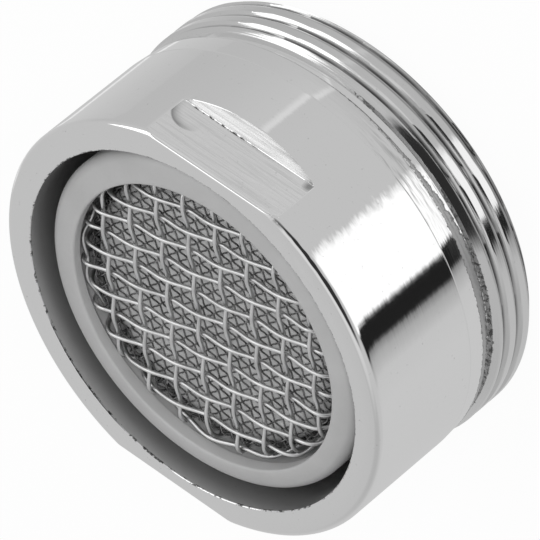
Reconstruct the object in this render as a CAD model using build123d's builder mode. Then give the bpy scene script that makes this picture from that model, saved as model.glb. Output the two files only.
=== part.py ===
from build123d import *
import math
import os

# Tap aerator, standing on its seal with the outlet upwards.
# +Z runs along the axis, out of the outlet. Every size is in millimetres.

# Sleeve: radii, each worked out from the thread inwards and then out to the body
thread_diameter = 23.9
relief_depth = 0.65
neck_wall = 0.5
ledge_width = 0.5
sleeve_wall = 1.6
band_taper = 0.1

# Sleeve: lengths along the axis, from the thread end to the outlet rim
thread_length = 2.9
relief_width = 0.65
band_height = 1.4
body_height = 6.85

# Sleeve: edges and the two milled spanner flats
thread_chamfer = 0.4
thread_lead = 0.33
shoulder_round = 0.3
rim_round = 0.4
bore_break = 0.1
flat_depth = 0.75
flat_length = 3.23
flat_cutter_radius = 30.0

# Stack that the seal presses against the sleeve's inner ledge
seal_thickness = 2.0
seal_proud = 0.4
seal_width = 2.0
strainer_rim = 0.4
jet_flange = 0.8
cup_flange = 1.0
flange_clearance = 0.1

# Outlet cup
air_gap = 0.65
cup_wall = 1.1
lip_overhang = 0.45
lip_height = 0.5
ring_recess = 0.6
ring_round = 0.4
mouth_bevel = 0.3

# Air windows, through the cup's wall and the jet plate's skirt
window_count = 6
window_width = 4.0
window_height = 1.2

# Jet plate
skirt_clearance = 0.1
skirt_wall = 1.0
chamber_height = 1.6
jet_floor = 1.2
jet_hole = 1.0
jet_inner_count = 4
jet_inner_ring = 2.4
jet_outer_count = 8
jet_outer_ring = 5.2

# Strainer
strainer_wall = 0.4
strainer_drop = 1.0
strainer_slope = 2.0
strainer_gap = 0.4
strainer_hole = 0.9
strainer_inner_count = 5
strainer_inner_ring = 2.0
strainer_outer_count = 10
strainer_outer_ring = 4.4

# Dished screens, nested one inside the other under the cup's lip
screen_clearance = 0.05
screen_seat_gap = 0.05
screen_bend = 1.17
screen_depth = 2.2
crown_sag = 0.15
nest_gap = 0.03
bend_parts = 3

# Coarse screen: wires along the turn, and wires across them
weave_bite = 0.1
coarse_wire = 0.22
coarse_turn = 12.5
coarse_pitch_along = 1.858
coarse_shift_along = 0.57
coarse_pitch_across = 1.31
coarse_shift_across = -0.122

# Fine screen, of whose wires the solid has every sixth
fine_wire = 0.15
fine_turn = 53.2
fine_pitch_along = 0.477
fine_pitch_across = 0.511
fine_step_count = 6

# Gauze: the innermost screen, a thin dished sheet with square gaps in place of its weave
gauze_thickness = 0.12
gauze_gap = 0.9
gauze_bar = 0.9
gauze_row = 7

# Radii
thread_radius = thread_diameter / 2
relief_radius = thread_radius - relief_depth
inlet_radius = relief_radius - neck_wall
outlet_radius = inlet_radius - ledge_width
body_radius = outlet_radius + sleeve_wall
flange_radius = inlet_radius - flange_clearance
ring_radius = outlet_radius - air_gap
cup_radius = ring_radius - cup_wall
mouth_radius = cup_radius - lip_overhang
skirt_radius = cup_radius - skirt_clearance
well_radius = skirt_radius - skirt_wall
seal_hole_radius = flange_radius - seal_width
strainer_radius = seal_hole_radius - strainer_gap
screen_radius = cup_radius - screen_clearance
crown_radius = screen_radius - screen_bend

# Heights
thread_z = seal_proud
relief_z = thread_z + thread_length
band_z = relief_z + relief_width
body_z = band_z + band_height
outlet_z = body_z + body_height
strainer_z = seal_thickness
jet_z = strainer_z + strainer_rim
cup_z = jet_z + jet_flange
ledge_z = cup_z + cup_flange
ring_z = outlet_z - ring_recess
lip_z = ring_z - lip_height
lip_reach = mouth_radius - crown_radius
crown_z = lip_z - screen_seat_gap + screen_bend - math.sqrt(screen_bend**2 - lip_reach**2)
fine_inset = 2 * coarse_wire + nest_gap
gauze_inset = fine_inset + 2 * fine_wire + nest_gap
gauze_bend = screen_bend - gauze_inset - gauze_thickness / 2
gauze_z = crown_z - gauze_inset - crown_sag - gauze_thickness / 2
screen_edge_z = crown_z - screen_depth
skirt_z = screen_edge_z - nest_gap
floor_z = skirt_z - chamber_height
window_z = skirt_z - chamber_height / 2

os.makedirs("parts", exist_ok=True)


def ribbon(path, width):
    """Closed outline of a strip of one width along an open path, mitred at its corners."""
    left, right = [], []
    for i, (x, z) in enumerate(path):
        before = Vector(*path[max(i - 1, 0)])
        after = Vector(*path[min(i + 1, len(path) - 1)])
        here = Vector(x, z)
        ways = [way.normalized() for way in (here - before, after - here) if way.length > 0]
        along = sum(ways, Vector()).normalized()
        normal = Vector(-along.Y, along.X)
        reach = width / 2 / along.dot(ways[0])
        left.append(here + normal * reach)
        right.append(here - normal * reach)
    return left + right[::-1]


def dish_drop(radius, bend):
    """How far a screen lies below its crown's edge: sagging inside it, bending down outside it."""
    if radius < crown_radius:
        return crown_sag * (1 - (radius / crown_radius) ** 2)
    return bend - math.sqrt(max(bend**2 - (radius - crown_radius) ** 2, 0))


def bend_radius(part, bend):
    """Distance from the axis after so many parts of the quarter turn at a screen's rim."""
    return crown_radius + bend * math.sin(math.pi / 2 * part / bend_parts)


def dished_path(offset, crossings, wire, inset):
    """Side view of one wire: over and under its neighbours on the crown, then bent down at the rim."""
    level = crown_z - inset - wire
    bend = screen_bend - inset - wire
    swing = wire / 2 * (1 - weave_bite)
    half = []
    for part in range(1, bend_parts + 1):
        radius = bend_radius(part, bend)
        half.append((math.sqrt(radius**2 - offset**2), level - dish_drop(radius, bend)))
    half.append((half[-1][0], screen_edge_z))
    crown = []
    for position, over in crossings:
        radius = math.hypot(position, offset)
        if radius < bend_radius(1, bend) - wire:
            z = level - dish_drop(radius, bend)
            crown.append((position, z + swing if over else z - swing))
    return [(-x, z) for x, z in reversed(half)] + crown + half


def wire_offsets(pitch, shift, wire, inset):
    """Numbered distances from the axis of the wires of one set that cross the crown."""
    limit = bend_radius(1, screen_bend - inset - wire) - 2 * wire
    first, last = math.ceil((-limit - shift) / pitch), math.floor((limit - shift) / pitch)
    return [(i, i * pitch + shift) for i in range(first, last + 1)]


def weave_plane(turn, offset):
    """Upright plane along one wire, at its distance from the axis."""
    c, s = math.cos(math.radians(turn)), math.sin(math.radians(turn))
    return Plane(origin=(0, 0, 0), x_dir=(c, s, 0), z_dir=(s, -c, 0)).offset(-offset)


def weave(along, across, turn, wire, inset):
    """Both sets of wires of one plain weave, as outlines on their planes."""
    for j, offset in across:
        crossings = [(position, (i + j) % 2 == 0) for i, position in along]
        yield weave_plane(turn, offset), ribbon(dished_path(offset, crossings, wire, inset), wire)
    for i, offset in along:
        crossings = [(position, (i + j) % 2 == 1) for j, position in across]
        yield weave_plane(turn + 90, -offset), ribbon(dished_path(offset, crossings, wire, inset), wire)


# Sleeve: turned from bar, plated, with a plain cylinder where the thread is cut;
# the flats end in the arc of the wide cutter that mills them
with BuildPart() as sleeve:
    with BuildSketch(Plane.XZ):
        with BuildLine():
            Polyline(
                (inlet_radius, thread_z),
                (thread_radius - thread_chamfer, thread_z),
                (thread_radius, thread_z + thread_chamfer),
                (thread_radius, relief_z - thread_lead),
                (thread_radius - thread_lead, relief_z),
                (relief_radius, relief_z),
                (relief_radius, band_z),
                (body_radius - band_taper, band_z),
                (body_radius, body_z),
                (body_radius, outlet_z),
                (outlet_radius, outlet_z),
                (outlet_radius, ledge_z),
                (inlet_radius, ledge_z),
                close=True,
            )
        make_face()
    revolve(axis=Axis.Z)
    fillet(sleeve.edges().sort_by_distance((-body_radius, 0, outlet_z))[0], rim_round)
    fillet(sleeve.edges().sort_by_distance((band_taper - body_radius, 0, band_z))[0], shoulder_round)
    chamfer(sleeve.edges().sort_by_distance((-outlet_radius, 0, outlet_z))[0], bore_break)
    for side in (1, -1):
        with BuildSketch(Plane.XZ.offset(side * (body_radius - flat_depth))):
            with Locations((0, outlet_z - flat_length + flat_cutter_radius)):
                Circle(flat_cutter_radius)
        extrude(amount=side * 2 * flat_depth, mode=Mode.SUBTRACT)
sleeve.part.label = "sleeve"
export_step(sleeve.part, "parts/sleeve.step")

# Outlet cup: moulded, with the bevelled ring that shows in the outlet and a flange on the ledge
with BuildPart() as outlet_cup:
    with BuildSketch(Plane.XZ):
        with BuildLine():
            Polyline(
                (cup_radius, cup_z),
                (flange_radius, cup_z),
                (flange_radius, ledge_z),
                (ring_radius, ledge_z),
                (ring_radius, ring_z),
                (mouth_radius + mouth_bevel, ring_z),
                (mouth_radius, ring_z - mouth_bevel),
                (mouth_radius, lip_z),
                (cup_radius, lip_z),
                close=True,
            )
        make_face()
    revolve(axis=Axis.Z)
    fillet(outlet_cup.edges().sort_by_distance((-ring_radius, 0, ring_z))[0], ring_round)
    with BuildSketch(Plane.XY.offset(window_z - window_height / 2)):
        with PolarLocations((ring_radius + well_radius) / 2, window_count):
            Rectangle(ring_radius - well_radius, window_width)
    extrude(amount=window_height, mode=Mode.SUBTRACT)
outlet_cup.part.label = "outlet_cup"
export_step(outlet_cup.part, "parts/outlet_cup.step")

# Coarse screen: a plain weave of stout wires, pressed into a dish
with BuildPart() as outlet_screen:
    coarse_along = wire_offsets(coarse_pitch_along, coarse_shift_along, coarse_wire, 0)
    coarse_across = wire_offsets(coarse_pitch_across, coarse_shift_across, coarse_wire, 0)
    for plane, outline in weave(coarse_along, coarse_across, coarse_turn, coarse_wire, 0):
        with BuildSketch(plane):
            with BuildLine():
                Polyline(*outline, close=True)
            make_face()
        extrude(amount=coarse_wire / 2, both=True)
outlet_screen.part.label = "outlet_screen"
export_step(outlet_screen.part, "parts/outlet_screen.step")

# Fine screen: a second dish inside the first, with every sixth wire of the real weave
with BuildPart() as fine_screen:
    fine_along = wire_offsets(fine_step_count * fine_pitch_along, 0, fine_wire, fine_inset)
    fine_across = wire_offsets(fine_step_count * fine_pitch_across, 0, fine_wire, fine_inset)
    for plane, outline in weave(fine_along, fine_across, fine_turn, fine_wire, fine_inset):
        with BuildSketch(plane):
            with BuildLine():
                Polyline(*outline, close=True)
            make_face()
        extrude(amount=fine_wire / 2, both=True)
fine_screen.part.label = "fine_screen"
export_step(fine_screen.part, "parts/fine_screen.step")

# Gauze: the innermost dish, flat under the lowest point of the other two
with BuildPart() as gauze_screen:
    gauze_path = [(0, gauze_z), (crown_radius, gauze_z)]
    for part in range(1, bend_parts + 1):
        radius = bend_radius(part, gauze_bend)
        gauze_path.append((radius, gauze_z - dish_drop(radius, gauze_bend)))
    gauze_path.append((crown_radius + gauze_bend, screen_edge_z))
    with BuildSketch(Plane.XZ):
        with BuildLine():
            Polyline(*ribbon(gauze_path, gauze_thickness), close=True)
        make_face()
    revolve(axis=Axis.Z)
    steps = [(gauze_gap + gauze_bar) * (i - (gauze_row - 1) / 2) for i in range(gauze_row)]
    gaps = [(x, y) for x in steps for y in steps if math.hypot(x, y) < crown_radius - gauze_gap]
    with BuildSketch(Plane.XY.offset(screen_edge_z)):
        with Locations(*gaps):
            Rectangle(gauze_gap, gauze_gap)
    extrude(amount=screen_depth, mode=Mode.SUBTRACT)
gauze_screen.part.label = "gauze_screen"
export_step(gauze_screen.part, "parts/gauze_screen.step")

# Jet plate: a flanged plug whose floor has the jets and whose skirt holds the screens up
with BuildPart() as jet_plate:
    with BuildSketch(Plane.XZ):
        with BuildLine():
            Polyline(
                (0, floor_z - jet_floor),
                (well_radius, floor_z - jet_floor),
                (well_radius, jet_z),
                (flange_radius, jet_z),
                (flange_radius, cup_z),
                (skirt_radius, cup_z),
                (skirt_radius, skirt_z),
                (well_radius, skirt_z),
                (well_radius, floor_z),
                (0, floor_z),
                close=True,
            )
        make_face()
    revolve(axis=Axis.Z)
    with BuildSketch(Plane.XY.offset(window_z - window_height / 2)):
        with PolarLocations((skirt_radius + well_radius) / 2, window_count):
            Rectangle(2 * skirt_wall, window_width)
    extrude(amount=window_height, mode=Mode.SUBTRACT)
    with BuildSketch(Plane.XY.offset(floor_z)):
        with PolarLocations(jet_inner_ring, jet_inner_count):
            Circle(jet_hole / 2)
        with PolarLocations(jet_outer_ring, jet_outer_count):
            Circle(jet_hole / 2)
    extrude(amount=-jet_floor, mode=Mode.SUBTRACT)
jet_plate.part.label = "jet_plate"
export_step(jet_plate.part, "parts/jet_plate.step")

# Strainer: a shallow moulded basket on a flat rim
with BuildPart() as strainer:
    with BuildSketch(Plane.XZ):
        with BuildLine():
            Polyline(
                (0, strainer_z - strainer_drop),
                (strainer_radius - strainer_slope, strainer_z - strainer_drop),
                (strainer_radius, strainer_z),
                (flange_radius, strainer_z),
                (flange_radius, jet_z),
                (strainer_radius - strainer_wall / 2, jet_z),
                (strainer_radius - strainer_slope, strainer_z - strainer_drop + strainer_wall),
                (0, strainer_z - strainer_drop + strainer_wall),
                close=True,
            )
        make_face()
    revolve(axis=Axis.Z)
    with BuildSketch(Plane.XY.offset(strainer_z - strainer_drop)):
        with PolarLocations(strainer_inner_ring, strainer_inner_count):
            Rectangle(strainer_hole, strainer_hole)
        with PolarLocations(strainer_outer_ring, strainer_outer_count):
            Rectangle(strainer_hole, strainer_hole)
    extrude(amount=strainer_wall, mode=Mode.SUBTRACT)
strainer.part.label = "strainer"
export_step(strainer.part, "parts/strainer.step")

# Seal: a square-cut rubber washer, proud of the thread end
with BuildPart() as seal:
    with BuildSketch():
        Circle(flange_radius)
        Circle(seal_hole_radius, mode=Mode.SUBTRACT)
    extrude(amount=seal_thickness)
seal.part.label = "seal"
export_step(seal.part, "parts/seal.step")
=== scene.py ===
import bpy
import math
from mathutils import Matrix, Vector


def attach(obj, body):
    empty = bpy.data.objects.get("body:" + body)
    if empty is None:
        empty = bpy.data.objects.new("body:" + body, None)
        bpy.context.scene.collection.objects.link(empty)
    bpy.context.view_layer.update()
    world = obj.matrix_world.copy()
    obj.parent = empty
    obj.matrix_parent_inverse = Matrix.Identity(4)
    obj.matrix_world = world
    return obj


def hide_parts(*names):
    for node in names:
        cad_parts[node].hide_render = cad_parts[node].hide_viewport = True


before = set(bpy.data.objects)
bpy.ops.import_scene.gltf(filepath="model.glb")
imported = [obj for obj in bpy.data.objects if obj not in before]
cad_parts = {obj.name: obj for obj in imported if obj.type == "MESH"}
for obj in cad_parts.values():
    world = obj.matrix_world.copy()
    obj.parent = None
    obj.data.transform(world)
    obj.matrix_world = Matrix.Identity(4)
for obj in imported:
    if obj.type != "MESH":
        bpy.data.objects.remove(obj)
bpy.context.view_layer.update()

# Sizes in millimetres, in the frame of the solids: +Z out of the outlet, standing on the seal at z = 0
MM = 0.001

# Sleeve radii
THREAD_R = 11.945
END_R = 11.55
RELIEF_R = 11.3
LEAD_R = 11.62
INLET_R = 10.8
BORE_R = 10.3
BODY_R = 11.9
BAND_R = 11.8

# Sleeve heights
THREAD_Z = 0.4
RELIEF_Z = 3.3
BAND_Z = 3.95
LINE_Z = 5.35
LEDGE_Z = 4.2
OUTLET_Z = 12.2

# Sleeve edges, and flats that end in a slope from the root up to a curved edge on the body
SHOULDER_ROUND = 0.15
RIM_ROUND = 0.4
BORE_BREAK = 0.04
RELIEF_ROUND = 0.08
LINE_DEPTH = 0.02
FLAT_Y = 11.15
FLAT_LENGTH = 3.4
FLAT_EDGE_CURVE_R = 19.0
FLAT_ROOT_Z = 9.22
FLAT_BREAK = 0.09
CHORD_BREAK = 0.14
FLAT_HALF = math.acos(FLAT_Y / BODY_R)

# Stains on the flat and a crescent of painted shade for a shallow scallop there, across the part and along
# it, and one stain on the rim beside it, by angle
ROOT_LINE_Z = 9.26
CRESCENT = (3.05, 9.55)
CRESCENT_R = 1.16
END_SPOT = (-3.9, 9.42)
RIM_STAIN = math.radians(-110.7)

# Worn strip on the shoulder's edge, darkened partly as painted shade of the relief groove: the angle of
# its middle, and how far it goes up and down there
WORN_SHADE_MIDDLE = math.radians(172)
WORN_SHADE_WIDTH = 0.32
WORN_SHADE_DEPTH = 0.72

# Rippled part of the body, by angle: where the ripples begin, are full, are still full, and end
RIPPLED = [math.radians(a) for a in (-142, -124, -104, -116)]

# Thread: one right-handed start
PITCH = 1.0
GROOVE_DEPTH = 0.32
GROOVE_FLANK = 0.185
CREST_LENGTH = 0.375
CREST_ROUND = 0.25
CREST_FALL = 0.1
GROOVE_PHASE_Z = 2.69
GROOVE_PHASE_ANGLE = math.radians(235.8)

# Outlet cup
CUP_FLANGE_R = 10.7
CUP_Z = 3.2
RING_R = 9.65
RING_Z = 11.6
RING_ROUND = 0.6
RING_FALL = 0.1
MOUTH_R = 8.17
MOUTH_SHIFT = 0.18
MOUTH_SHIFT_WAY = math.radians(152)
MOUTH_BEVEL = 0.12
CUP_BORE_R = 8.55
LIP_Z = 10.9
LIP_GAP = 0.04
LIP_R = 8.2
WINDOW_COUNT = 6
WINDOW_WIDTH = 4.0
WINDOW_LOW_Z = 7.709
WINDOW_HIGH_Z = 8.909

# Dished screens, one inside the other under the cup's lip
CROWN_R = 7.33
CROWN_Z = 11.339
CROWN_SAG = 0.15
SCREEN_BEND = 1.0
GAUZE_R = 7.16
SCREEN_EDGE_Z = 9.139
COARSE_WIRE = 0.22
COARSE_TURN = 12.5
COARSE_PITCH_ALONG = 1.858
COARSE_SHIFT_ALONG = 0.57
COARSE_PITCH_ACROSS = 1.31
COARSE_SHIFT_ACROSS = -0.122
FINE_WIRE = 0.15
FINE_DIAMETER = 0.09
FINE_TURN = 53.2
FINE_PITCH_ALONG = 0.477
FINE_PITCH_ACROSS = 0.511
FINE_INSET = 0.47
GAUZE_Z = 10.329
GAUZE_BEND = 0.31
GAUZE_THICKNESS = 0.12

# Studio: brightness of the sky, and of the low cards by azimuth in degrees
SKY = 0.555
SKY_DIM = 0.46
SKY_TOP = 0.72
NADIR = 0.3
CARDS = (
    (0, 0.53), (28, 0.59), (39, 0.6), (40.5, 0.85), (43, 0.85), (44.5, 0.57),
    (150, 0.6), (166, 0.58), (176, 0.42), (181, 0.2), (181.6, 0.015), (193.8, 0.015), (194.4, 1.1),
    (231, 1.1), (236, 0.56), (280, 0.56), (293, 0.55), (294, 0.71), (296.2, 0.71), (297.2, 0.575),
    (325, 0.53), (350, 0.51),
)

# Patches of the sky: azimuth, elevation, and the angles in degrees at which they begin and are full
DIM_PATCH = (105, 42, 35, 10)
FLAG = (218, 55, 29, 21)

# Camera: where it looks, from how far, turned from +Y towards +X, looking down, and rolled
TARGET = Vector((-0.047, 0.124, 6.229)) * MM
CAMERA_DISTANCE = 390.98 * MM
CAMERA_HEADING = math.radians(27.9)
CAMERA_DOWN = math.radians(33.997)
CAMERA_ROLL = math.radians(-129.355)
CAMERA_LENS = 533.33


# Meshes
def make_piece(name, vertices, faces, node, slot, material, sharp_angle=30):
    """Object from millimetre points, smooth between sharp edges, that stands for one solid of the part."""
    mesh = bpy.data.meshes.new(name)
    mesh.from_pydata([Vector(v) * MM for v in vertices], [], faces)
    mesh.polygons.foreach_set("use_smooth", [True] * len(mesh.polygons))
    mesh.set_sharp_from_angle(angle=math.radians(sharp_angle))
    mesh.materials.append(material)
    mesh.validate()
    piece = bpy.data.objects.new(name, mesh)
    bpy.context.scene.collection.objects.link(piece)
    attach(piece, "root")
    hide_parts(node)
    return piece


def lathe(angles, profile_at):
    """Points and faces of a closed profile carried round the axis; it may change with the angle."""
    vertices, faces = [], []
    for angle in angles:
        profile = profile_at(angle)
        vertices += [(r * math.cos(angle), r * math.sin(angle), z) for r, z in profile]
    count, rows = len(angles), len(profile)
    for i in range(count):
        here, there = i * rows, (i + 1) % count * rows
        for k in range(rows):
            up = (k + 1) % rows
            faces.append((here + k, there + k, there + up, here + up))
    return vertices, faces


def arc(centre_r, centre_z, radius, start, end, parts):
    """Points of a profile's rounding, between two angles in degrees."""
    turns = [math.radians(start + (end - start) * i / parts) for i in range(parts + 1)]
    return [(centre_r + radius * math.cos(t), centre_z + radius * math.sin(t)) for t in turns]


# Sleeve
def thread_radius(angle, z):
    """Radius of the thread: a steep flank under each groove, a crest and a rounded fall to the next."""
    groove = GROOVE_PHASE_Z + PITCH * (angle - GROOVE_PHASE_ANGLE) / (2 * math.pi)
    below = (groove - z) % PITCH
    fall_start = GROOVE_FLANK + CREST_LENGTH
    if below < GROOVE_FLANK:
        depth = GROOVE_DEPTH * (1 - below / GROOVE_FLANK)
    elif below < fall_start:
        depth = 0
    elif below < fall_start + CREST_ROUND:
        depth = CREST_FALL * ((below - fall_start) / CREST_ROUND) ** 2
    else:
        flank = (below - fall_start - CREST_ROUND) / (PITCH - fall_start - CREST_ROUND)
        depth = CREST_FALL + (GROOVE_DEPTH - CREST_FALL) * flank
    chamfer = END_R + z - THREAD_Z
    lead = LEAD_R + RELIEF_Z - z
    return min(THREAD_R - depth, chamfer, lead)


def flat_radius(angle):
    """Distance from the axis at which the nearer spanner flat is met, or the body's radius beside it."""
    turn = abs((angle % math.pi) - math.pi / 2)
    return FLAT_Y / math.cos(turn) if turn < FLAT_HALF else BODY_R


def flat_step_z(angle):
    """Height at which the flat's sloping end meets the body."""
    turn = min(abs((angle % math.pi) - math.pi / 2), FLAT_HALF)
    return OUTLET_Z - FLAT_LENGTH + (BODY_R * math.sin(turn)) ** 2 / (2 * FLAT_EDGE_CURVE_R)


def chord_break(z):
    """How far the small round between a flat and the rim's face has come in at this height."""
    up = max(z - OUTLET_Z + CHORD_BREAK, 0)
    return CHORD_BREAK - math.sqrt(CHORD_BREAK**2 - up**2)


def sleeve_profile(angle):
    flat = flat_radius(angle)
    depth = BODY_R - flat
    step_z = flat_step_z(angle)
    edge = min(FLAT_BREAK, depth / 2)
    rows = 58
    profile = [(BORE_R, LEDGE_Z), (INLET_R, LEDGE_Z), (INLET_R, THREAD_Z), (END_R, THREAD_Z)]
    for i in range(1, rows + 1):
        z = THREAD_Z + (RELIEF_Z - THREAD_Z) * i / rows
        profile.append((thread_radius(angle, z), z))
    profile += arc(RELIEF_R + RELIEF_ROUND, RELIEF_Z + RELIEF_ROUND, RELIEF_ROUND, 270, 180, 2)
    profile += arc(RELIEF_R + RELIEF_ROUND, BAND_Z - RELIEF_ROUND, RELIEF_ROUND, 180, 90, 2)
    profile += arc(BAND_R - SHOULDER_ROUND, BAND_Z + SHOULDER_ROUND, SHOULDER_ROUND, -90, 0, 6)
    profile += [(BODY_R, LINE_Z - 0.04), (BODY_R - LINE_DEPTH, LINE_Z - 0.01)]
    profile += [(BODY_R - LINE_DEPTH, LINE_Z + 0.01), (BODY_R, LINE_Z + 0.04)]
    profile += [(BODY_R, 6.5), (BODY_R, 7.7), (BODY_R, 8.5)]
    profile += [(BODY_R, step_z - FLAT_BREAK), (BODY_R - edge, step_z)]
    profile += [(flat, max(FLAT_ROOT_Z, step_z) + 0.02)]
    profile += [(flat, z) for z in (9.9, 10.5, 11.2)]
    rim = arc(BODY_R - RIM_ROUND, OUTLET_Z - RIM_ROUND, RIM_ROUND, 0, 90, 8)
    profile += [(min(r, flat - chord_break(z)), z) for r, z in rim]
    profile += [(BORE_R + 0.5, OUTLET_Z), (BORE_R + BORE_BREAK, OUTLET_Z), (BORE_R, OUTLET_Z - BORE_BREAK)]
    profile += [(BORE_R, 10.5), (BORE_R, 8.0)]
    return profile


def sleeve_angles():
    """Columns one degree apart, and closer over the flats, with a column at each end of a flat."""
    marks_and_shade = set(range(0, 360))
    for middle in (90, 270):
        half = math.degrees(FLAT_HALF)
        marks_and_shade |= {round(middle + half * i / 80, 6) for i in range(-80, 81)}
        marks_and_shade -= {m for m in range(360) if abs(m - middle) < half}
    return [math.radians(m) for m in sorted(marks_and_shade)]


# Outlet cup
def bend_top_z(r):
    """Height of the outer screen's bend at a distance from the axis."""
    return CROWN_Z - SCREEN_BEND + math.sqrt(max(SCREEN_BEND**2 - (r - CROWN_R) ** 2, 0))


def cup_profile(angle):
    """Flanged cup with a rounded ring; its mouth, a little off centre, is seated on the screens' bend."""
    mouth = MOUTH_R + MOUTH_SHIFT * math.cos(angle - MOUTH_SHIFT_WAY)
    inner_r = mouth + MOUTH_BEVEL
    profile = [(CUP_BORE_R, CUP_Z), (CUP_FLANGE_R, CUP_Z), (CUP_FLANGE_R, LEDGE_Z), (RING_R, LEDGE_Z)]
    profile += [(RING_R, WINDOW_HIGH_Z + 1)]
    profile += arc(RING_R - RING_ROUND, RING_Z - RING_FALL - RING_ROUND, RING_ROUND, 0, 80, 10)
    profile += [(inner_r + 0.5, RING_Z - 0.04), (inner_r + 0.2, RING_Z - 0.01)]
    profile += arc(inner_r, RING_Z - MOUTH_BEVEL, MOUTH_BEVEL, 90, 180, 4)
    lip_r = max(mouth, LIP_R) + 0.01
    for r in (mouth, (mouth + lip_r) / 2, lip_r):
        profile.append((r, max(LIP_Z, bend_top_z(r) + LIP_GAP)))
    profile += [(CUP_BORE_R, LIP_Z)]
    return profile


def cut_windows(piece):
    """Cuts the air windows through the wall, two opposite ones at a time."""
    cutters = bpy.data.meshes.new("window_cutters")
    vertices, faces = [], []
    for k in range(WINDOW_COUNT // 2):
        turn = Matrix.Rotation(2 * math.pi * k / WINDOW_COUNT, 3, "Z")
        first = len(vertices)
        for z in (WINDOW_LOW_Z, WINDOW_HIGH_Z):
            for x, y in ((-1, -1), (1, -1), (1, 1), (-1, 1)):
                vertices.append(turn @ Vector((x * (RING_R + 1), y * WINDOW_WIDTH / 2, z)) * MM)
        for face in ((3, 2, 1, 0), (4, 5, 6, 7), (0, 1, 5, 4), (1, 2, 6, 5), (2, 3, 7, 6), (3, 0, 4, 7)):
            faces.append([first + i for i in face])
    cutters.from_pydata(vertices, [], faces)
    cutter = bpy.data.objects.new("window_cutter", cutters)
    bpy.context.scene.collection.objects.link(cutter)
    cut = piece.modifiers.new("windows", "BOOLEAN")
    cut.operation = "DIFFERENCE"
    cut.solver = "EXACT"
    cut.use_self = True
    cut.object = cutter
    graph = bpy.context.evaluated_depsgraph_get()
    mesh = bpy.data.meshes.new_from_object(piece.evaluated_get(graph))
    piece.modifiers.clear()
    piece.data = mesh
    mesh.set_sharp_from_angle(angle=math.radians(30))
    bpy.data.objects.remove(cutter)


# Screens
class Dish:
    """A screen's middle surface, followed from the axis out: sagging crown, bend and upright wall."""

    def __init__(self, wire, inset):
        self.level = CROWN_Z - inset - wire
        self.bend = SCREEN_BEND - inset - wire
        self.wall_r = CROWN_R + self.bend
        self.bend_end = CROWN_R + self.bend * math.pi / 2
        self.edge = self.bend_end + self.level - self.bend - SCREEN_EDGE_Z

    def at(self, s):
        """Distance from the axis, height, and the outward normal's two parts, so far along the sheet."""
        if s < CROWN_R:
            return s, self.level - CROWN_SAG * (1 - (s / CROWN_R) ** 2), 0.0, 1.0
        if s < self.bend_end:
            turn = (s - CROWN_R) / self.bend
            sine, cosine = math.sin(turn), math.cos(turn)
            return CROWN_R + self.bend * sine, self.level - self.bend * (1 - cosine), sine, cosine
        return self.wall_r, self.level - self.bend - (s - self.bend_end), 1.0, 0.0


def wire_path(dish, turn, offset, pitch, shift, phase, wire):
    """One wire's middle line and the sheet's normals along it, the weave being pressed into the dish."""
    along, left = Vector((math.cos(turn), math.sin(turn), 0)), Vector((-math.sin(turn), math.cos(turn), 0))
    reach = math.sqrt(dish.edge**2 - offset**2)
    parts = max(8, round(2 * reach / min(pitch / 4, 0.2)))
    path = []
    for i in range(parts + 1):
        t = reach * (2 * i / parts - 1)
        flat = along * t + left * offset
        r, z, out, up = dish.at(flat.length)
        way = flat.normalized()
        normal = Vector((way.x * out, way.y * out, up))
        swing = wire / 2 * math.cos(math.pi * ((t - shift) / pitch + phase))
        path.append((Vector((way.x * r, way.y * r, z)) + normal * swing, normal))
    return path


def add_tube(vertices, faces, path, radius, sides):
    """Round wire along a path whose points carry the sheet's normal."""
    first, last = len(vertices), len(path) - 1
    for i, (centre, normal) in enumerate(path):
        tangent = (path[min(i + 1, last)][0] - path[max(i - 1, 0)][0]).normalized()
        side = tangent.cross(normal).normalized()
        over = side.cross(tangent)
        for k in range(sides):
            a = 2 * math.pi * k / sides
            vertices.append(centre + (side * math.cos(a) + over * math.sin(a)) * radius)
    for i in range(last):
        for k in range(sides):
            a, b = first + i * sides + k, first + i * sides + (k + 1) % sides
            faces.append((a, a + sides, b + sides, b))
    faces.append([first + k for k in range(sides)])
    faces.append([first + last * sides + k for k in reversed(range(sides))])


def woven_dish(dish, turn, along, across, wire, diameter, sides):
    """Both sets of wires of one plain weave; along and across give pitch and shift."""
    vertices, faces = [], []
    turn = math.radians(turn)
    for own, other, way, lift in ((across, along, turn, 0), (along, across, turn + math.pi / 2, 1)):
        pitch, shift = own
        limit = dish.wall_r
        for i in range(math.ceil((-limit - shift) / pitch), math.floor((limit - shift) / pitch) + 1):
            offset = i * pitch + shift
            if lift:
                offset = -offset
            path = wire_path(dish, way, offset, other[0], other[1], i + lift, wire)
            add_tube(vertices, faces, path, diameter / 2, sides)
    return vertices, faces


def gauze_profile(_angle):
    """Thin dished sheet, closed on itself from the axis out and back."""
    half = GAUZE_THICKNESS / 2
    bend_z = GAUZE_Z - GAUZE_BEND
    outer = [(0.02, GAUZE_Z + half), (2.5, GAUZE_Z + half), (4.7, GAUZE_Z + half)]
    outer += arc(GAUZE_R, bend_z, GAUZE_BEND + half, 90, 0, 8)
    inner = arc(GAUZE_R, bend_z, GAUZE_BEND - half, 0, 90, 8) + [(0.02, GAUZE_Z - half)]
    edge = [(GAUZE_R + GAUZE_BEND + half, SCREEN_EDGE_Z), (GAUZE_R + GAUZE_BEND - half, SCREEN_EDGE_Z)]
    return (outer + edge + inner)[::-1]


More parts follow.
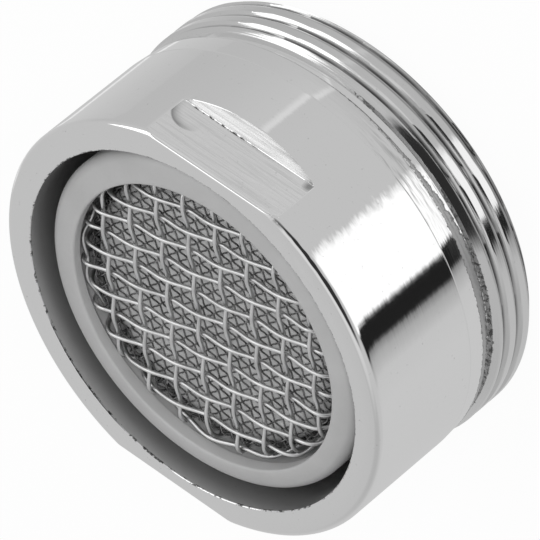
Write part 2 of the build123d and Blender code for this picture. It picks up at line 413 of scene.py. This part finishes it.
# Materials
class Nodes:
    """Short names for the node calls that the materials share."""

    def __init__(self, tree):
        self.tree = tree

    def add(self, kind, values=None, **settings):
        node = self.tree.nodes.new(kind)
        for key, value in settings.items():
            setattr(node, key, value)
        for key, value in (values or {}).items():
            self.put(node.inputs[key], value)
        return node

    def put(self, socket, value):
        if isinstance(value, bpy.types.NodeSocket):
            self.tree.links.new(value, socket)
        else:
            socket.default_value = value

    def math(self, operation, a, b=0.0, c=0.0):
        node = self.add("ShaderNodeMath", {0: a, 1: b, 2: c}, operation=operation)
        return node.outputs[0]

    def spread(self, value, low, high, to_low=0.0, to_high=1.0):
        """Value carried from one range to another, held at its ends."""
        values = {"Value": value, "From Min": low, "From Max": high, "To Min": to_low, "To Max": to_high}
        return self.add("ShaderNodeMapRange", values, clamp=True).outputs["Result"]

    def noise(self, vector, scale, detail=2.0, roughness=0.5):
        values = {"Vector": vector, "Scale": scale, "Detail": detail, "Roughness": roughness}
        return self.add("ShaderNodeTexNoise", values).outputs["Fac"]

    def mix(self, factor, a, b):
        node = self.add("ShaderNodeMix", data_type="RGBA")
        self.put(node.inputs["Factor"], factor)
        self.put(node.inputs["A"], a)
        self.put(node.inputs["B"], b)
        return node.outputs["Result"]

    def place(self):
        """Position on the object in millimetres, and its three parts."""
        position = self.add("ShaderNodeTexCoord").outputs["Object"]
        values = {0: position, 1: (1000, 1000, 1000)}
        scaled = self.add("ShaderNodeVectorMath", values, operation="MULTIPLY").outputs[0]
        parts = self.add("ShaderNodeSeparateXYZ", {0: scaled})
        return scaled, parts.outputs[0], parts.outputs[1], parts.outputs[2]

    def stretched(self, parts, factors):
        """Vector from three parts, each times its own factor."""
        x, y, z = [self.math("MULTIPLY", part, factor) for part, factor in zip(parts, factors)]
        return self.add("ShaderNodeCombineXYZ", {0: x, 1: y, 2: z}).outputs[0]

    def length(self, a, b):
        """Length of a line from its two parts at right angles."""
        squares = self.math("ADD", self.math("MULTIPLY", a, a), self.math("MULTIPLY", b, b))
        return self.math("SQRT", squares)


def new_material(name):
    material = bpy.data.materials.new(name)
    material.use_nodes = True
    return material, Nodes(material.node_tree), material.node_tree.nodes["Principled BSDF"]


def grey(value):
    return (value, value, value, 1)


def worn_and_shaded_shoulder(n, position, angle, z):
    """Ragged dull strip, worn on the shoulder's edge and in the relief groove, and its dark edges; its
    darkness is partly painted shade of the groove.
    """
    place = n.math("ADD", z, n.math("MULTIPLY", n.noise(position, 4.0, 4.0, 0.65), 0.5))
    width = n.spread(n.math("COSINE", n.math("SUBTRACT", angle, WORN_SHADE_MIDDLE)), -0.1, 0.75, 0.0, WORN_SHADE_WIDTH)
    above = n.math("SUBTRACT", place, BAND_Z + 0.32)
    away = n.math("MAXIMUM", above, n.math("MULTIPLY", above, -WORN_SHADE_WIDTH / WORN_SHADE_DEPTH))
    inside = n.math("SUBTRACT", width, away)
    strip = n.spread(inside, 0.0, 0.02)
    edge = n.math("MULTIPLY", strip, n.spread(inside, 0.06, 0.03))
    return strip, edge


def flat_marks(n, x, y, z):
    """Stains on the -Y flat: a spotted line by its root and a spot at one end; at the other end a crescent
    of painted shade that stands for a shallow scallop.
    """
    spots = n.spread(n.noise(n.stretched((x, y, z), (4.0, 0.0, 9.0)), 1.0, 3.0), 0.46, 0.54)
    line = n.spread(n.math("ABSOLUTE", n.math("SUBTRACT", z, ROOT_LINE_Z)), 0.06, 0.03)
    length = n.math("MULTIPLY", n.spread(x, -1.5, 0.5), n.spread(x, 3.5, 3.3))
    line = n.math("MULTIPLY", n.math("MULTIPLY", line, spots), length)

    def distance(centre_x, centre_z):
        return n.length(n.math("SUBTRACT", x, centre_x), n.math("SUBTRACT", z, centre_z))

    # The crescent is painted shade: a dark ring that stands for a shallow scallop at the flat's end, with
    # no dent in the surface.
    ring = distance(*CRESCENT)
    crescent = n.math("POWER", n.spread(ring, CRESCENT_R - 0.6, CRESCENT_R), 2.0)
    crescent = n.math("MULTIPLY", crescent, n.spread(ring, CRESCENT_R + 0.08, CRESCENT_R))
    crescent = n.math("MULTIPLY", crescent, n.spread(z, CRESCENT[1] - 0.4, CRESCENT[1] + 0.3))
    crescent = n.math("MULTIPLY", crescent, n.spread(x, CRESCENT[0] - 0.8, CRESCENT[0] + 0.2))
    spot = n.spread(distance(*END_SPOT), 0.4, 0.1)
    marks_and_shade = n.math("MAXIMUM", line, n.math("MULTIPLY", n.math("MAXIMUM", crescent, spot), 0.65))
    return n.math("MULTIPLY", marks_and_shade, n.math("LESS_THAN", y, 0.0))


def rim_marks(n, position, angle, radius, z):
    """Wear on the rim's face: pits along the bore's edge and a smear beside the flat of the -Y side."""
    on_face = n.math("GREATER_THAN", z, OUTLET_Z - 0.1)
    pits = n.spread(n.noise(position, 2.5, 5.0, 0.75), 0.5, 0.56)
    pits = n.math("MULTIPLY", pits, n.spread(radius, BORE_R + 0.08, BORE_R + 0.04))
    smear = n.spread(n.math("ABSOLUTE", n.math("SUBTRACT", angle, RIM_STAIN)), 0.05, 0.01)
    smear = n.math("MULTIPLY", smear, n.spread(radius, BODY_R - 0.35, BODY_R - 0.2))
    smear = n.math("MULTIPLY", smear, n.spread(n.noise(position, 3.0, 3.0), 0.35, 0.5, 0.0, 0.6))
    return n.math("MULTIPLY", n.math("MAXIMUM", pits, smear), on_face)


def chrome_material():
    """Bright plate over turned brass: ripples, milled and stained flats with a crescent of painted shade,
    wear on the shoulder darkened partly as painted shade, painted shade in the thread's roots.
    """
    material, n, shader = new_material("chrome_plate")
    position, x, y, z = n.place()
    angle = n.math("ARCTAN2", y, x)
    radius = n.length(x, y)
    on_flat = n.math("GREATER_THAN", n.math("ABSOLUTE", y), FLAT_Y - 0.03)
    on_flat = n.math("MULTIPLY", on_flat, n.math("LESS_THAN", radius, BODY_R - 0.03))
    on_flat = n.math("MULTIPLY", on_flat, n.math("GREATER_THAN", z, OUTLET_Z - FLAT_LENGTH - 0.05))
    flat_end = n.math("MULTIPLY", on_flat, n.math("LESS_THAN", z, FLAT_ROOT_Z))
    in_bore = n.math("LESS_THAN", radius, BORE_R + 0.02)
    worn_and_shaded, worn_and_shaded_edge = worn_and_shaded_shoulder(n, position, angle, z)
    on_thread = n.math("LESS_THAN", z, RELIEF_Z)
    # Painted shade in the thread's roots: the grooves below the crests are drawn darker.
    root_shade = n.spread(radius, THREAD_R - 0.16, THREAD_R - 0.3)
    root_shade = n.math("MULTIPLY", root_shade, n.spread(z, RELIEF_Z - 0.15, RELIEF_Z - 0.2))
    root_shade = n.math("MULTIPLY", root_shade, n.math("GREATER_THAN", radius, THREAD_R - GROOVE_DEPTH - 0.05))
    ripple = n.noise(n.stretched((angle, radius, z), (7.0, 1.0, 3.0)), 1.0, 2.0)
    turning = n.noise(n.stretched((angle, radius, z), (2.0, 14.0, 14.0)), 1.0, 2.0)
    milling = n.noise(n.stretched((x, y, z), (0.25, 7.0, 7.0)), 1.0, 4.0, 0.6)
    torn = n.math("MULTIPLY", n.spread(angle, *RIPPLED[:2]), n.spread(angle, *RIPPLED[2:]))
    wave = n.spread(torn, 0.0, 1.0, 0.003, 0.03)
    fine_lines = n.spread(on_thread, 0.0, 1.0, 0.0008, 0.006)
    turned = n.math("ADD", n.math("MULTIPLY", ripple, wave), n.math("MULTIPLY", turning, fine_lines))
    milled = n.math("ADD", n.math("MULTIPLY", milling, 0.008), n.math("MULTIPLY", ripple, 0.004))
    height = n.add("ShaderNodeMix", {"Factor": on_flat, "A": turned, "B": milled}).outputs["Result"]
    bump = n.add("ShaderNodeBump", {"Strength": 1.0, "Distance": MM, "Height": height})
    specks = n.math("MULTIPLY", n.spread(n.noise(position, 4.0, 4.0, 0.65), 0.66, 0.74), 0.25)
    marks_and_shade = n.math("MAXIMUM", specks, n.math("MULTIPLY", flat_marks(n, x, y, z), on_flat))
    marks_and_shade = n.math("MAXIMUM", marks_and_shade, n.math("MULTIPLY", root_shade, 0.8))
    marks_and_shade = n.math("MAXIMUM", marks_and_shade, rim_marks(n, position, angle, radius, z))
    plate = n.mix(on_thread, n.mix(in_bore, grey(0.93), grey(0.68)), grey(0.8))
    plate = n.mix(n.math("MULTIPLY", on_flat, n.spread(milling, 0.48, 0.62)), plate, grey(0.84))
    plate = n.mix(flat_end, plate, n.mix(n.spread(milling, 0.4, 0.6), grey(0.6), grey(0.85)))
    # Dark marks: stains, specks and rim wear, with painted shade in the thread's roots and the flat's
    # crescent.
    colour = n.mix(marks_and_shade, plate, grey(0.1))
    # The shoulder's worn strip and its edges are drawn darker, partly as painted shade of the relief
    # groove.
    colour = n.mix(worn_and_shaded_edge, n.mix(worn_and_shaded, colour, grey(0.6)), grey(0.27))
    n.put(shader.inputs["Base Color"], colour)
    n.put(shader.inputs["Metallic"], n.spread(in_bore, 0.0, 1.0, 1.0, 0.9))
    smooth = n.math("ADD", n.spread(turning, 0.3, 0.7, 0.03, 0.07), n.math("MULTIPLY", on_thread, 0.05))
    dull = n.math("MAXIMUM", n.math("MULTIPLY", worn_and_shaded, 0.5), n.math("MULTIPLY", in_bore, 0.3))
    dull = n.math("MAXIMUM", dull, n.math("MULTIPLY", flat_end, 0.38))
    n.put(shader.inputs["Roughness"], n.math("MAXIMUM", smooth, dull))
    n.put(shader.inputs["Normal"], bump.outputs[0])
    return material


def plastic_material(name, light, dark, grain_scale):
    """Moulded acetal: slightly cloudy, with a fine matt grain."""
    material, n, shader = new_material(name)
    position = n.place()[0]
    cloud = n.noise(position, 0.5, 3.0)
    colour = n.mix(n.spread(cloud, 0.3, 0.7), grey(dark), grey(light))
    grain = n.noise(position, grain_scale, 3.0)
    bump = n.add("ShaderNodeBump", {"Strength": 0.3, "Distance": 0.00002, "Height": grain})
    n.put(shader.inputs["Base Color"], colour)
    n.put(shader.inputs["Roughness"], n.spread(grain, 0.3, 0.7, 0.42, 0.6))
    n.put(shader.inputs["Normal"], bump.outputs[0])
    return material


def wire_material(name, light, dark, low_rough, high_rough):
    """Drawn stainless wire: scored along its length, dull patches of dried water."""
    material, n, shader = new_material(name)
    position = n.place()[0]
    scores = n.noise(position, 6.0, 3.0, 0.6)
    patches = n.spread(n.noise(position, 0.8, 2.0), 0.45, 0.7)
    colour = n.mix(patches, grey(light), grey(dark))
    bump = n.add("ShaderNodeBump", {"Strength": 0.3, "Distance": 0.00001, "Height": scores})
    n.put(shader.inputs["Base Color"], colour)
    shader.inputs["Metallic"].default_value = 1.0
    n.put(shader.inputs["Roughness"], n.spread(scores, 0.3, 0.7, low_rough, high_rough))
    n.put(shader.inputs["Normal"], bump.outputs[0])
    return material


def gauze_material():
    """Gauze too fine to show its wires one by one: a small weave in colour and bump, painted shade at its
    bend under the lip.
    """
    material, n, shader = new_material("steel_gauze")
    position, x, y, z = n.place()
    waves = 2 * math.pi / 0.13
    across, along = [n.math("SINE", n.math("MULTIPLY", part, waves)) for part in (x, y)]
    weave = n.math("MULTIPLY", across, along)
    cloud = n.noise(position, 0.6, 3.0)
    shade = n.math("ADD", n.math("MULTIPLY", weave, 0.12), cloud)
    colour = n.mix(n.spread(shade, 0.25, 0.75), grey(0.64), grey(0.77))
    radius = n.length(x, y)
    # Painted shade: the sheet is drawn darker towards its bend, under the cup's lip.
    colour = n.mix(n.spread(radius, GAUZE_R - 0.7, GAUZE_R + 0.1, 0.0, 0.7), colour, grey(0.25))
    bump = n.add("ShaderNodeBump", {"Strength": 0.4, "Distance": 0.00002, "Height": weave})
    n.put(shader.inputs["Base Color"], colour)
    n.put(shader.inputs["Roughness"], n.spread(cloud, 0.3, 0.7, 0.5, 0.7))
    n.put(shader.inputs["Normal"], bump.outputs[0])
    return material


def rubber_material():
    """Matt black rubber with a cut, slightly dusty surface."""
    material, n, shader = new_material("seal_rubber")
    position = n.place()[0]
    dust = n.spread(n.noise(position, 1.2, 4.0, 0.6), 0.5, 0.75)
    grain = n.noise(position, 8.0, 3.0)
    bump = n.add("ShaderNodeBump", {"Strength": 0.4, "Distance": 0.00003, "Height": grain})
    n.put(shader.inputs["Base Color"], n.mix(dust, grey(0.03), grey(0.07)))
    n.put(shader.inputs["Roughness"], n.spread(grain, 0.3, 0.7, 0.6, 0.8))
    n.put(shader.inputs["Normal"], bump.outputs[0])
    return material


def floor_material():
    """White sweep: an even white to the camera, with a little of the lit floor so that shadows stay."""
    material = bpy.data.materials.new("floor_white")
    material.use_nodes = True
    n = Nodes(material.node_tree)
    material.node_tree.nodes.clear()
    seen = n.add("ShaderNodeLightPath").outputs["Is Camera Ray"]
    lit = n.add("ShaderNodeBsdfDiffuse", {"Color": grey(0.9)})
    even = n.add("ShaderNodeEmission", {"Color": grey(1), "Strength": 1.0})
    share = n.math("MULTIPLY", seen, 0.95)
    mixed = n.add("ShaderNodeMixShader", {0: share, 1: lit.outputs[0], 2: even.outputs[0]})
    n.add("ShaderNodeOutputMaterial", {"Surface": mixed.outputs[0]})
    return material


# Stage
def add_floor():
    mesh = bpy.data.meshes.new("floor")
    half, low = 0.6, -0.02 * MM
    corners = [(-half, -half, low), (half, -half, low), (half, half, low), (-half, half, low)]
    mesh.from_pydata(corners, [], [(0, 1, 2, 3)])
    floor = bpy.data.objects.new("floor", mesh)
    bpy.context.scene.collection.objects.link(floor)
    mesh.materials.append(floor_material())
    floor.visible_glossy = False


def direction(azimuth, elevation):
    a, e = math.radians(azimuth), math.radians(elevation)
    return Vector((math.cos(a) * math.cos(e), math.sin(a) * math.cos(e), math.sin(e)))


def add_softbox(name, azimuth, elevation, distance, size, power, mirrored):
    """Square lamp that faces the part, shown or not shown in mirror-like surfaces."""
    lamp = bpy.data.lights.new(name, "AREA")
    lamp.size = size
    lamp.energy = power
    box = bpy.data.objects.new(name, lamp)
    box.location = TARGET + direction(azimuth, elevation) * distance
    box.rotation_euler = direction(azimuth, elevation).to_track_quat("Z", "Y").to_euler()
    box.visible_glossy = mirrored
    bpy.context.scene.collection.objects.link(box)


def add_studio():
    """Low cards that the plate mirrors, and a sky with a dim patch, a dark flag and a brighter top."""
    world = bpy.data.worlds.new("studio")
    bpy.context.scene.world = world
    world.use_nodes = True
    n = Nodes(world.node_tree)
    background = world.node_tree.nodes["Background"]
    way = n.add("ShaderNodeTexCoord").outputs["Generated"]
    parts = n.add("ShaderNodeSeparateXYZ", {0: way})
    x, y, z = parts.outputs
    azimuth = n.math("FRACT", n.math("ADD", n.math("DIVIDE", n.math("ARCTAN2", y, x), 2 * math.pi), 1.0))
    cards = n.add("ShaderNodeValToRGB", {"Fac": azimuth})
    ramp = cards.color_ramp
    while len(ramp.elements) < len(CARDS):
        ramp.elements.new(0.5)
    for element, (degrees, value) in zip(ramp.elements, CARDS):
        element.position = degrees / 360
        element.color = grey(value)

    def patch(azimuth, elevation, begin, full):
        values = {0: way, 1: direction(azimuth, elevation)}
        facing = n.add("ShaderNodeVectorMath", values, operation="DOT_PRODUCT").outputs["Value"]
        return n.spread(facing, math.cos(math.radians(begin)), math.cos(math.radians(full)))

    sky = n.mix(patch(*DIM_PATCH), grey(SKY), grey(SKY_DIM))
    sky = n.mix(n.spread(z, 0.75, 0.95), sky, grey(SKY_TOP))
    sky = n.mix(patch(*FLAG), sky, grey(0.03))
    low = n.mix(n.spread(z, -0.7, -0.85), cards.outputs["Color"], grey(NADIR))
    n.put(background.inputs["Color"], n.mix(n.spread(z, -0.1, 0.2), low, sky))
    background.inputs["Strength"].default_value = 1.0


def add_camera():
    level_way = Vector((math.sin(CAMERA_HEADING), math.cos(CAMERA_HEADING), 0))
    forward = level_way * math.cos(CAMERA_DOWN) - Vector((0, 0, 1)) * math.sin(CAMERA_DOWN)
    level = forward.cross(Vector((0, 0, 1))).normalized()
    up = level.cross(forward)
    right = level * math.cos(CAMERA_ROLL) + up * math.sin(CAMERA_ROLL)
    top = up * math.cos(CAMERA_ROLL) - level * math.sin(CAMERA_ROLL)
    data = bpy.data.cameras.new("camera")
    data.lens = CAMERA_LENS
    data.sensor_width = 36
    data.clip_start = 0.01
    camera = bpy.data.objects.new("camera", data)
    turn = Matrix((right, top, -forward)).transposed()
    camera.matrix_world = Matrix.Translation(TARGET - forward * CAMERA_DISTANCE) @ turn.to_4x4()
    bpy.context.scene.collection.objects.link(camera)
    bpy.context.scene.camera = camera


# Pieces
full_turn = [math.radians(i) for i in range(360)]
half_columns = [math.radians(2 * i) for i in range(180)]

sleeve_mesh = lathe(sleeve_angles(), sleeve_profile)
make_piece("sleeve_plate", *sleeve_mesh, "sleeve", "plated_brass", chrome_material())

cup_plastic = plastic_material("cup_acetal", 0.5, 0.46, 6.0)
cup_mesh = lathe(full_turn, cup_profile)
cup = make_piece("cup_moulding", *cup_mesh, "outlet_cup", "cup_plastic", cup_plastic)
cut_windows(cup)

coarse_dish = Dish(COARSE_WIRE, 0)
coarse_sets = (COARSE_PITCH_ALONG, COARSE_SHIFT_ALONG), (COARSE_PITCH_ACROSS, COARSE_SHIFT_ACROSS)
coarse_weave = woven_dish(coarse_dish, COARSE_TURN, *coarse_sets, COARSE_WIRE, COARSE_WIRE, 10)
coarse_steel = wire_material("coarse_steel", 0.8, 0.66, 0.3, 0.42)
make_piece("coarse_weave", *coarse_weave, "outlet_screen", "coarse_wire", coarse_steel, 60)

fine_dish = Dish(FINE_WIRE, FINE_INSET)
fine_sets = (FINE_PITCH_ALONG, 0), (FINE_PITCH_ACROSS, 0)
fine_weave = woven_dish(fine_dish, FINE_TURN, *fine_sets, FINE_WIRE, FINE_DIAMETER, 5)
# The fine wire is the same steel drawn far darker than the coarse wire, as painted shade of the wires down
# in the well.
shaded_fine_steel = wire_material("shaded_fine_steel", 0.28, 0.15, 0.22, 0.32)
make_piece("fine_weave", *fine_weave, "fine_screen", "fine_wire", shaded_fine_steel, 75)

gauze_mesh = lathe(half_columns, gauze_profile)
make_piece("gauze_sheet", *gauze_mesh, "gauze_screen", "gauze_wire", gauze_material())

for node, material in (
    ("jet_plate", plastic_material("jet_acetal", 0.45, 0.38, 6.0)),
    ("strainer", plastic_material("strainer_acetal", 0.5, 0.44, 6.0)),
    ("seal", rubber_material()),
):
    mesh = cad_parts[node].data
    mesh.materials.clear()
    mesh.materials.append(material)

add_floor()
add_studio()
add_softbox("wire_softbox", -24, 47, distance=0.3, size=0.2, power=0.12, mirrored=True)
add_softbox("fill_softbox", 242, 36, distance=0.45, size=0.12, power=0.85, mirrored=False)
add_camera()
bpy.context.scene.view_settings.view_transform = "Standard"
